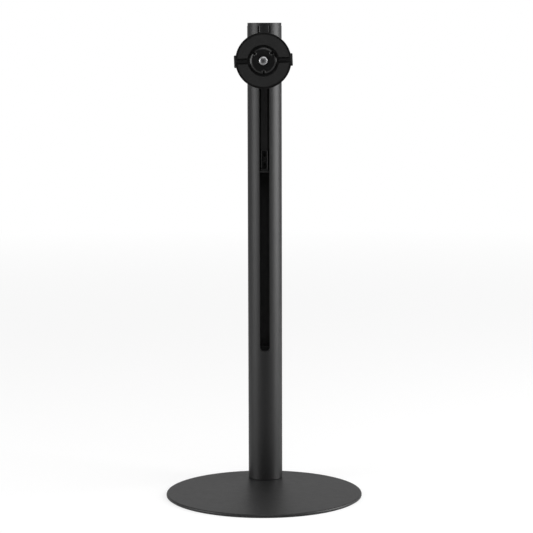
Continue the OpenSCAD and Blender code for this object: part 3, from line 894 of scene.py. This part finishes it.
@dataclass
class Carriage:
    """The strip, the thumb slider and the neck that slide in the post."""

    shelf: FinishShelf
    window_width: float = 3.8 * MM
    window_height: float = 14.1 * MM
    window_corner: float = 0.5 * MM
    window_reach: float = 4 * MM
    window_depth: float = 2 * MM
    slit_width: float = 1.1 * MM
    slit_height: float = 9.4 * MM
    strip_edge: float = 0.15 * MM
    frame_border: float = 0.6 * MM
    frame_height: float = 0.55 * MM
    frame_round: float = 0.42 * MM
    ledge_width: float = 6.6 * MM
    ledge_radius: float = 0.8 * MM
    ledge_out: float = 0.3 * MM
    thumb_height: float = 5.4 * MM
    thumb_gap: float = 0.45 * MM
    thumb_round: float = 0.8 * MM
    thumb_clear: float = 0.1 * MM
    thumb_edge: float = 0.14 * MM
    slide_gap: float = 0.3 * MM
    slide_edge: float = 0.2 * MM
    stem_width: float = 0.8 * MM
    stem_height: float = 2 * MM
    grip_radius: float = 1.2 * MM
    grip_depth: float = 1 * MM
    grip_pitch: float = 2.75 * MM
    bar_width: float = 5.8 * MM
    bar_height: float = 12 * MM
    neck_edge: float = 0.3 * MM
    plate_thickness: float = 3 * MM
    plate_height: float = 26 * MM
    plate_width: float = 11 * MM
    screw_radius: float = 2.55 * MM
    washer_room: float = 0.6 * MM
    bead_sides: int = 32

    def window(self, front: float) -> tuple[Vector, Vector]:
        """Gives the window's box.

        Args:
            front: Y of the strip's face.

        Returns:
            The lowest and the highest corner.
        """
        low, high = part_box("lock_slider")
        middle = (low.z + high.z) / 2
        half = Vector((self.window_width / 2, self.window_reach, self.window_height / 2))
        centre = Vector((0, front, middle))
        return centre - half, centre + half

    def strip(self) -> None:
        """Models the cover strip: a framed window with a slit in its floor, and a ledge at its foot."""
        low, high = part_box("cover_strip")
        strip = Piece.block("slot_strip", low, high)
        corner, far = self.window(low.y)
        border = Vector((self.frame_border, 0, self.frame_border))
        rim_low = corner - border
        rim_high = far + border
        rim_low.y = low.y - self.frame_height
        rim_high.y = low.y + OVERRUN
        rim = Piece.block("rim", rim_low, rim_high)
        rim.bevel(lambda a, b: abs(a.y - b.y) > MM, self.window_corner, Steps.MIDDLE)
        rim.bevel(lambda a, b: max(a.y, b.y) < rim_low.y + WELD, self.frame_round, Steps.SMALL)
        strip.work(Cut.FUSE, rim)
        strip.work(Cut.FUSE, Piece.pin("ledge", self.ledge_radius, self.ledge_width / 2,
                                       low.y + self.ledge_radius - self.ledge_out,
                                       low.z + self.ledge_radius, self.bead_sides))
        far.y = low.y + self.window_depth
        recess = Piece.block("recess", corner, far)
        recess.bevel(lambda a, b: abs(a.y - b.y) > MM, self.window_corner, Steps.MIDDLE)
        strip.work(Cut.AWAY, recess)
        middle = (corner.z + far.z) / 2
        slit = Piece.bar("slit", self.slit_width, (low.y, high.y + OVERRUN), about(middle, self.slit_height))
        strip.work(Cut.AWAY, slit)
        strip.ease(self.strip_edge, Steps.SMALL)
        self.shelf.dress(strip, Body.CARRIAGE, Slot.BLACK_PLASTIC, "cover_strip")

    def thumb(self) -> None:
        """Models the thumb slider: a grooved thumb piece whose stem stands on a flat body."""
        low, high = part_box("lock_slider")
        strip_low, strip_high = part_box("cover_strip")
        middle = (low.z + high.z) / 2
        half = self.window_width / 2 - self.thumb_gap
        body_front = strip_high.y + self.slide_gap
        slider = Piece.block("thumb_slide", (low.x, body_front, low.z), (high.x, high.y, high.z))
        knob_back = strip_low.y + self.window_depth - self.thumb_clear
        knob = Piece.bar("knob", 2 * half, (low.y, knob_back), about(middle, self.thumb_height))
        knob.bevel(lambda a, b: max(a.y, b.y) < low.y + WELD and abs(a.z - b.z) < WELD,
                   self.thumb_round, Steps.MIDDLE)
        for step in (-1, 0, 1):
            knob.work(Cut.AWAY, Piece.pin("groove", self.grip_radius, half + OVERRUN,
                                          low.y - self.grip_radius + self.grip_depth,
                                          middle + step * self.grip_pitch, self.bead_sides))
        knob.ease(self.thumb_edge, angle=30)
        slider.ease(self.slide_edge)
        depth = (knob_back - self.thumb_clear, body_front + OVERRUN)
        knob.work(Cut.FUSE, Piece.bar("stem", self.stem_width, depth, about(middle, self.stem_height)))
        slider.work(Cut.FUSE, knob)
        self.shelf.dress(slider, Body.LOCK_SLIDER, Slot.BLACK_PLASTIC, "lock_slider")

    def neck(self) -> None:
        """Models the neck: a foot plate, a bar through the slot and a round lug."""
        low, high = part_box("neck_arm")
        screw_low, screw_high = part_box("tilt_screw")
        axis = (screw_low + screw_high) / 2
        radius = axis.y - low.y
        lug_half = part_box("tilt_washers")[1].x - self.washer_room
        depth = (high.y - self.plate_thickness, high.y)
        plate = Piece.bar("foot", self.plate_width, depth, about(axis.z, self.plate_height))
        depth = (axis.y, high.y - self.plate_thickness / 2)
        neck = Piece.bar("neck_bracket", self.bar_width, depth, about(axis.z, self.bar_height))
        neck.work(Cut.FUSE, plate)
        neck.work(Cut.FUSE, Piece.pin("lug", radius, lug_half, axis.y, axis.z))
        neck.work(Cut.AWAY, Piece.pin("bore", self.screw_radius, 2 * lug_half, axis.y, axis.z))
        neck.ease(self.neck_edge, angle=50)
        self.shelf.dress(neck, Body.CARRIAGE, Slot.BLACK_STEEL, "neck_arm")


class HeadFrame:
    """The head's own frame: its origin on the tilt axis, Z to the front along the turning axis."""

    def __init__(self) -> None:
        """Reads the tilt axis from the frame."""
        low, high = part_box("tilt_screw")
        self.origin = Vector((0, (low.y + high.y) / 2, (low.z + high.z) / 2))

    def matrix(self, roll: float = 0.0) -> Matrix:
        """Gives the matrix from the head's frame, rolled about the turning axis, to the stand's."""
        upright = turned(math.pi / 2, "X")
        return Matrix.Translation(self.origin) @ upright @ turned(roll)

    def span(self, node: str) -> tuple[float, float]:
        """Gives how far back and how far forward a CAD node reaches along the turning axis."""
        low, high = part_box(node)
        return self.origin.y - high.y, self.origin.y - low.y

    def radius(self, node: str) -> float:
        """Gives a CAD node's radius: half its height."""
        low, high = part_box(node)
        return (high.z - low.z) / 2


@dataclass
class Knuckle:
    """The fork behind the head and the caps on its screw."""

    shelf: FinishShelf
    at: HeadFrame
    edge: float = 0.8 * MM
    bore: float = 5.25 * MM
    pocket: float = 6.1 * MM
    wall: float = 4.3 * MM
    cheek: float = 4.5 * MM
    cheek_radius: float = 6.5 * MM
    cheek_root: float = 17 * MM
    screw_radius: float = 2.55 * MM
    seat_radius: float = 4.4 * MM
    seat_depth: float = 2.9 * MM
    back_gap: float = 0.1 * MM
    cap_thickness: float = 0.9 * MM
    cap_rim_share: float = 0.45
    cap_dimple: float = 0.25 * MM
    cap_edge: float = 0.2 * MM
    cap_sides: int = 64
    hole_sides: int = 48
    sides: int = 128

    def cheek_piece(self, inner: float, back: float) -> Piece:
        """Models one cheek of the fork, on the right.

        Args:
            inner: X of its inner face.
            back: Z of the housing's back.

        Returns:
            The cheek.
        """
        outer = inner + self.cheek
        root = Piece.block("root", (inner, -self.cheek_radius, 0), (outer, self.cheek_radius, back + OVERRUN))
        root.pick("FACE", is_top)
        share = self.cheek_root / 2 / self.cheek_radius
        bpy.ops.transform.resize(value=(1, share, 1), center_override=(inner, 0, back))
        root.done()
        end = Piece.pin("end", self.cheek_radius, self.cheek / 2, 0, 0)
        end.place(Matrix.Translation(((inner + outer) / 2, 0, 0)))
        root.work(Cut.FUSE, end)
        return root

    def fork(self) -> None:
        """Models the fork: a round housing with two cheeks."""
        front = self.at.span("tilt_fork")[1]
        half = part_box("tilt_caps")[1].x
        back = self.at.span("pivot_nut")[0] - self.back_gap
        fork = Piece.disc("fork_housing", self.at.radius("tilt_fork"), back, front, sides=self.sides)
        fork.ease(self.edge, Steps.MIDDLE)
        cheek = self.cheek_piece(half - self.cheek, back)
        other = cheek.copy("other", turned(math.pi))
        fork.work(Cut.FUSE, cheek)
        fork.work(Cut.FUSE, other)
        fork.bore(self.bore, 0, front + OVERRUN)
        fork.bore(self.pocket, 0, front - self.wall)
        fork.work(Cut.AWAY, Piece.pin("hole", self.screw_radius, 2 * half, 0, 0, self.hole_sides))
        for side in (-1, 1):
            seat = Piece.pin("seat", self.seat_radius, self.seat_depth, 0, 0)
            seat.place(Matrix.Translation((side * half, 0, 0)))
            fork.work(Cut.AWAY, seat)
        fork.place(self.at.matrix())
        self.shelf.dress(fork, Body.KNUCKLE, Slot.BLACK_STEEL, "tilt_fork")

    def caps(self) -> None:
        """Models the two caps on the screw, with a dimple in each."""
        low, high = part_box("tilt_caps")
        radius = (high.z - low.z) / 2
        cap = Piece.disc("screw_cap_right", radius, high.x - self.cap_thickness, high.x, sides=self.cap_sides)
        cap.pick("FACE", is_top)
        bpy.ops.mesh.inset(thickness=radius * self.cap_rim_share)
        bpy.ops.transform.translate(value=(0, 0, -self.cap_dimple))
        cap.done()
        cap.ease(self.cap_edge, Steps.SMALL, angle=25)
        cap.place(turned(math.pi / 2, "Y"))
        other = cap.copy("screw_cap_left", turned(math.pi))
        for piece in (cap, other):
            piece.place(self.at.matrix())
            self.shelf.dress(piece, Body.KNUCKLE, Slot.BLACK_PLASTIC, "tilt_caps")


@dataclass
class Head:
    """The turning head: plate, pads, ring nut and stud."""

    shelf: FinishShelf
    at: HeadFrame
    rim_round: float = 0.25 * MM
    back_round: float = 0.6 * MM
    ear_span: float = 45 * MM
    ear_height: float = 9.6 * MM
    ear_thickness: float = 3.8 * MM
    ear_set: float = 1 * MM
    ear_round: float = 0.7 * MM
    recess_radius: float = 12.1 * MM
    recess_step: float = 0.25 * MM
    pocket_radius: float = 10.35 * MM
    hole_radius: float = 4.05 * MM
    rib_width: float = 2.2 * MM
    rib_height: float = 0.55 * MM
    rib_inset: float = 0.4 * MM
    rib_edge: float = 0.2 * MM
    groove: float = 4.6 * MM
    pad_edge: float = 0.3 * MM
    nut_edge_widths: tuple[float, ...] = (0.5 * MM, 0.7 * MM, 0.55 * MM)
    nut_edge_depths: tuple[float, ...] = (0.32 * MM, 0.4 * MM, 0.22 * MM)
    notch_width: float = 2 * MM
    notch_depth: float = 2.7 * MM
    notch_floor: float = 2.8 * MM
    flare: float = 0.55 * MM
    flare_depth: float = 0.45 * MM
    notch_angle: float = math.radians(49.5)
    notch_sides: int = 48
    pitch: float = 1.27 * MM
    thread_depth: float = 0.7 * MM
    thread_sink: float = 0.1 * MM
    thread_steps: int = 48
    foot_share: float = 0.88
    crest_share: float = 0.14
    tip_width: float = 1.1 * MM
    tip_height: float = 0.5 * MM
    chamfer_width: float = 0.45 * MM
    chamfer_height: float = 0.9 * MM
    edge: float = 0.15 * MM
    stud_neck: float = 2.6 * MM
    stud_root: float = 3 * MM
    hex_across: float = 2.5 * MM
    hex_depth: float = 1.8 * MM
    hex_sides: int = 6
    stud_sides: int = 64
    nut_sides: int = 144
    recess_sides: int = 128
    sides: int = 192

    def plate(self) -> None:
        """Models the plate with its ears, recess and the low rib between the pads."""
        radius = self.at.radius("head_plate")
        back, front = self.at.span("head_plate")
        plate = Piece.disc("turn_plate", radius, back, front, sides=self.sides)
        plate.bevel(lambda a, b: min(a.z, b.z) > front - WELD, self.rim_round, Steps.SMALL)
        plate.bevel(lambda a, b: max(a.z, b.z) < back + WELD, self.back_round, Steps.SMALL)
        ear_front = front - self.ear_set
        height = (ear_front - self.ear_thickness, ear_front)
        ears = Piece.bar("ears", self.ear_span, about(0, self.ear_height), height)
        ears.ease(self.ear_round, Steps.SMALL)
        plate.work(Cut.FUSE, ears)
        reach = radius - self.rim_round - self.rib_inset
        height = (front - OVERRUN, front + self.rib_height)
        rib = Piece.bar("rib", 2 * reach, about(0, self.rib_width), height)
        rib.ease(self.rib_edge)
        plate.work(Cut.FUSE, rib)
        pocket_floor = self.at.span("spanner_ring")[0]
        rib_front = front + self.rib_height
        plate.bore(self.recess_radius, front - self.recess_step, rib_front + OVERRUN, sides=self.recess_sides)
        plate.bore(self.pocket_radius, pocket_floor, front, sides=self.recess_sides)
        plate.bore(self.hole_radius, back - OVERRUN, front)
        plate.ease(self.edge, angle=60)
        plate.place(self.at.matrix(HEAD_ROLL))
        self.shelf.dress(plate, Body.HEAD, Slot.BLACK_PLASTIC, "head_plate")

    def pads(self) -> None:
        """Models one half-ring pad and copies it for the other half."""
        back, front = self.at.span("upper_pad")
        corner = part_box("upper_pad")[1]
        radius = corner.z - self.at.origin.z
        pad = Piece.disc("face_pad_upper", radius, back, front, sides=self.sides)
        pad.bore(self.recess_radius, back - OVERRUN, front + OVERRUN, sides=self.recess_sides)
        pad.slice((0, self.groove / 2, 0), (0, -1, 0))
        pad.ease(self.pad_edge, Steps.SMALL, angle=50)
        lower = pad.copy("face_pad_lower", turned(math.pi))
        for piece, node in ((pad, "upper_pad"), (lower, "lower_pad")):
            piece.place(self.at.matrix(HEAD_ROLL))
            self.shelf.dress(piece, Body.HEAD, Slot.PAD_RUBBER, node)

    def notch(self, radius: float, front: float) -> Piece:
        """Makes a cutter for one notch of the ring nut: round inside, flared at the top.

        Args:
            radius: The nut's radius.
            front: The nut's face.

        Returns:
            The cutter, towards X.
        """
        half = self.notch_width / 2
        middle = radius - self.notch_depth + half
        reach = self.notch_depth
        tool = Piece.disc("notch", half, front - self.notch_floor, front - self.flare_depth, (middle, 0),
                          self.notch_sides, math.pi / self.notch_sides)
        tool.pick("FACE", lambda c, n: c.x > middle and abs(n.z) < SIDEWAYS)
        bpy.ops.transform.translate(value=(reach, 0, 0))
        tool.done()
        length = reach + 2 * half
        share = (1 + 2 * self.flare / length, 1 + self.flare / half)
        tool.taper(is_top, self.flare_depth, share, (middle + reach / 2, 0, front))
        tool.raise_top(OVERRUN)
        return tool

    def ring_nut(self) -> None:
        """Models the ring nut: a boss with a rounded edge and three round-ended notches."""
        radius = self.at.radius("spanner_ring")
        back, front = self.at.span("spanner_ring")
        shoulder = front - sum(self.nut_edge_depths)
        nut = Piece.disc("ring_nut", radius, back, shoulder, sides=self.nut_sides)
        reach = radius
        for width, depth in zip(self.nut_edge_widths, self.nut_edge_depths):
            share = 1 - width / reach
            nut.taper(is_top, depth, (share, share), (0, 0, front))
            reach -= width
        notch = self.notch(radius, front)
        for angle in (-math.pi / 2, math.pi / 2 - self.notch_angle, math.pi / 2 + self.notch_angle):
            nut.work(Cut.AWAY, notch.copy("notch_turned", turned(angle)))
        notch.drop()
        nut.bore(self.hole_radius, back - OVERRUN, front + OVERRUN)
        nut.place(self.at.matrix(HEAD_ROLL))
        self.shelf.dress(nut, Body.HEAD, Slot.BLACK_STEEL, "spanner_ring")

    def ridge(self, radius: float, back: float, front: float) -> Piece:
        """Models a thread's ridge: its profile, screwed along Z.

        Args:
            radius: Radius of the crests.
            back: Where the thread starts.
            front: Where it ends.

        Returns:
            The ridge.
        """
        depth = self.thread_depth + self.thread_sink
        middle = radius - depth / 2
        start = back - self.pitch
        turns = math.ceil((front - start) / self.pitch) + 1
        bpy.ops.mesh.primitive_plane_add(size=1, location=(middle, 0, start), rotation=(math.pi / 2, 0, 0))
        ridge = Piece.added("ridge")
        ridge.pick("FACE", is_any)
        bpy.ops.transform.resize(
            value=(depth, 1, self.foot_share * self.pitch), center_override=(middle, 0, start)
        )
        ridge.done()
        ridge.pick("EDGE", lambda a, b: min(a.x, b.x) > middle)
        bpy.ops.transform.resize(
            value=(1, 1, self.crest_share / self.foot_share), center_override=(radius, 0, start)
        )
        ridge.done()
        ridge.pick("FACE", is_any)
        bpy.ops.mesh.delete(type="ONLY_FACE")
        ridge.done()
        ridge.run("SCREW", axis="Z", angle=math.tau, screw_offset=self.pitch, iterations=turns,
                  steps=self.thread_steps, render_steps=self.thread_steps)
        ridge.pick("FACE", is_any)
        bpy.ops.mesh.select_all(action="SELECT")
        bpy.ops.mesh.fill_holes(sides=4)
        ridge.done()
        ridge.weld()
        return ridge

    def stud(self) -> None:
        """Models the stud: a real thread with a chamfered tip, a neck, a root and a hex socket."""
        back, front = self.at.span("camera_stud")
        low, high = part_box("camera_stud")
        radius = (high.x - low.x) / 2
        face = self.at.span("upper_pad")[1]
        shaft_front = self.at.span("pivot_shaft")[1]
        core = radius - self.thread_depth
        root_front = shaft_front - self.edge
        stud = Piece.disc("thread_stud", self.stud_root, back, root_front, sides=self.stud_sides)
        reach = self.stud_root
        for target, top in ((self.stud_neck, face - self.edge), (core, front + OVERRUN)):
            share = target / reach
            stud.taper(is_top, self.edge, (share, share), (0, 0, back))
            reach = target
            level = max(v.co.z for v in stud.obj.data.vertices)
            stud.raise_top(top - level)
        stud.work(Cut.FUSE, self.ridge(radius, face, front))
        shoulder = front - self.tip_height - self.chamfer_height
        envelope = Piece.disc("envelope", radius, back - OVERRUN, shoulder)
        reach = radius
        for width, depth in ((self.chamfer_width, self.chamfer_height), (self.tip_width, self.tip_height)):
            share = 1 - width / reach
            envelope.taper(is_top, depth, (share, share), (0, 0, front))
            reach -= width
        stud.work(Cut.COMMON, envelope)
        corner = self.hex_across / 2 / math.cos(math.pi / self.hex_sides)
        stud.bore(corner, front - self.hex_depth, front + OVERRUN, sides=self.hex_sides)
        stud.weld()
        stud.place(self.at.matrix(HEAD_ROLL))
        self.shelf.dress(stud, Body.HEAD, Slot.BRIGHT_STEEL, "camera_stud")


@dataclass(frozen=True)
class Softbox:
    """A rectangular lamp; a radiance of 1 makes its face white."""

    name: str
    place: Triple
    aim: Triple
    size: tuple[float, float]
    radiance: float

    def hang(self) -> None:
        """Adds the lamp, turned to what it lights."""
        data = bpy.data.lights.new(self.name, "AREA")
        data.shape = "RECTANGLE"
        data.size, data.size_y = self.size
        data.energy = self.radiance * math.pi * self.size[0] * self.size[1]
        lamp = bpy.data.objects.new(self.name, data)
        bpy.context.scene.collection.objects.link(lamp)
        lamp.location = self.place
        lamp.rotation_euler = (Vector(self.aim) - Vector(self.place)).to_track_quat("-Z", "Y").to_euler()


@dataclass
class Studio:
    """Camera, lamps, world and floor."""

    softboxes: tuple[Softbox, ...] = (
        Softbox("right_box", (1.2, -0.04, 0.52), (0, 0.05, 0.3), (0.95, 1.0), 5.4),
        Softbox("left_box", (-1.15, -0.42, 0.52), (0, 0.05, 0.3), (0.85, 1.0), 3.5),
        Softbox("front_box", (0.03, -1.9, 0.3), (0, 0, 0.33), (0.25, 0.25), 0.4),
        Softbox("top_box", (0.2, -0.55, 1.5), (0, 0, 0.25), (1.2, 1.5), 1.5),
    )
    camera_place: Triple = (0.0352, -1.5718, 0.3703)
    azimuth: float = math.radians(1.2)
    pitch: float = math.radians(6.925)
    roll: float = math.radians(-0.142)
    lens: float = 139.05
    sensor: float = 36.0
    nearest: float = 0.01
    farthest: float = 50.0
    floor_size: float = 12.0
    ambient: float = 0.25
    mat_place: Triple = (0.0, -2.2, 0.0)
    mat_scale: Triple = (1.0, 2.5, 1.0)
    mat_radius: float = 0.62
    mat_reach: float = 0.85
    mat_shade: float = 0.05
    floor_shade: float = 0.7
    shadow_reach: float = 2.0
    shadow_share: float = 0.36
    near_glow: float = 0.68
    gloss_front: float = 0.0
    gloss_back: float = 0.5
    gloss_start: float = -0.3

    def camera(self) -> None:
        """Sets the camera at the photograph's angle."""
        data = bpy.data.cameras.new("camera")
        data.lens = self.lens
        data.sensor_width = self.sensor
        data.clip_start = self.nearest
        data.clip_end = self.farthest
        camera = bpy.data.objects.new("camera", data)
        bpy.context.scene.collection.objects.link(camera)
        turn = turned(self.azimuth) @ turned(math.pi / 2 - self.pitch, "X")
        roll = turned(self.roll)
        camera.matrix_world = Matrix.Translation(self.camera_place) @ turn @ roll
        bpy.context.scene.camera = camera

    def world(self) -> None:
        """Sets a white background, a plain ambient light and a dim room for reflections."""
        world = bpy.data.worlds.new("studio")
        bpy.context.scene.world = world
        graph = Graph(world, "ShaderNodeOutputWorld")
        path = graph.add("ShaderNodeLightPath").outputs
        place = graph.add("ShaderNodeTexCoord").outputs["Generated"]
        depth = graph.add("ShaderNodeSeparateXYZ", {0: place}).outputs["Y"]
        room = graph.map(depth, (self.gloss_start, 1.0), (self.gloss_front, self.gloss_back))
        ambient = graph.add("ShaderNodeBackground", {"Color": WHITE, "Strength": self.ambient})
        gloss = graph.add("ShaderNodeBackground", {"Color": WHITE, "Strength": room})
        white = graph.add("ShaderNodeBackground", {"Color": WHITE})
        inputs = {0: path["Is Glossy Ray"], 1: path["Is Transmission Ray"]}
        mirrored = graph.add("ShaderNodeMath", inputs, operation="MAXIMUM")
        inputs = {0: mirrored.outputs[0], 1: ambient.outputs[0], 2: gloss.outputs[0]}
        unseen = graph.add("ShaderNodeMixShader", inputs)
        inputs = {0: path["Is Camera Ray"], 1: unseen.outputs[0], 2: white.outputs[0]}
        graph.show(graph.add("ShaderNodeMixShader", inputs).outputs[0])

    def floor(self) -> None:
        """Lays a pale floor that keeps the object's shadow, with a dark mat in front for reflections."""
        bpy.ops.mesh.primitive_plane_add(size=self.floor_size, location=(0, 0, 0))
        floor = bpy.context.active_object
        floor.name = "floor"
        material = bpy.data.materials.new("floor")
        graph = Graph(material, "ShaderNodeOutputMaterial")
        path = graph.add("ShaderNodeLightPath")
        place = graph.add("ShaderNodeTexCoord").outputs["Object"]
        far = graph.add("ShaderNodeVectorMath", {0: place}, operation="LENGTH").outputs["Value"]
        share = graph.map(far, (0.0, self.shadow_reach), (self.shadow_share, 0.0))
        level = graph.map(far, (0.0, self.shadow_reach), (self.near_glow, 1.0))
        lit = graph.add("ShaderNodeBsdfDiffuse", {"Color": share})
        glow = graph.add("ShaderNodeEmission", {"Color": WHITE, "Strength": level})
        shown = graph.add("ShaderNodeAddShader", {0: lit.outputs[0], 1: glow.outputs[0]})
        inputs = {"Vector": place, "Location": self.mat_place, "Scale": self.mat_scale}
        mat = graph.add("ShaderNodeMapping", inputs, vector_type="TEXTURE")
        away = graph.add("ShaderNodeVectorMath", {0: mat.outputs[0]}, operation="LENGTH")
        tone = graph.map(
            away.outputs["Value"], (self.mat_radius, self.mat_reach), (self.mat_shade, self.floor_shade)
        )
        dim = graph.add("ShaderNodeBsdfDiffuse", {"Color": tone})
        inputs = {0: path.outputs["Is Camera Ray"], 1: dim.outputs[0], 2: shown.outputs[0]}
        graph.show(graph.add("ShaderNodeMixShader", inputs).outputs[0])
        floor.data.materials.append(material)

    def lamps(self) -> None:
        """Hangs the softboxes: strong on the right, weaker on the left, small in front, wide above."""
        for softbox in self.softboxes:
            softbox.hang()


def settings() -> None:
    """Sets the plain view transform."""
    bpy.context.scene.view_settings.view_transform = "Standard"


def main() -> None:
    """Builds the stand's looks in order, then the studio."""
    logging.basicConfig(level=logging.INFO, format="%(name)s: %(message)s")
    settings()
    at = HeadFrame()
    shelf = FinishShelf(at.origin)
    post = Post(shelf)
    base = Base(shelf)
    base.plate(post.axis)
    base.pad()
    post.tube()
    post.cap()
    carriage = Carriage(shelf)
    carriage.strip()
    carriage.thumb()
    carriage.neck()
    knuckle = Knuckle(shelf, at)
    knuckle.fork()
    knuckle.caps()
    head = Head(shelf, at)
    head.plate()
    head.pads()
    head.ring_nut()
    head.stud()
    shelf.dress_nodes(frame["record"]["subparts"])
    studio = Studio()
    studio.camera()
    studio.world()
    studio.floor()
    studio.lamps()


if __name__ == "__main__":
    main()
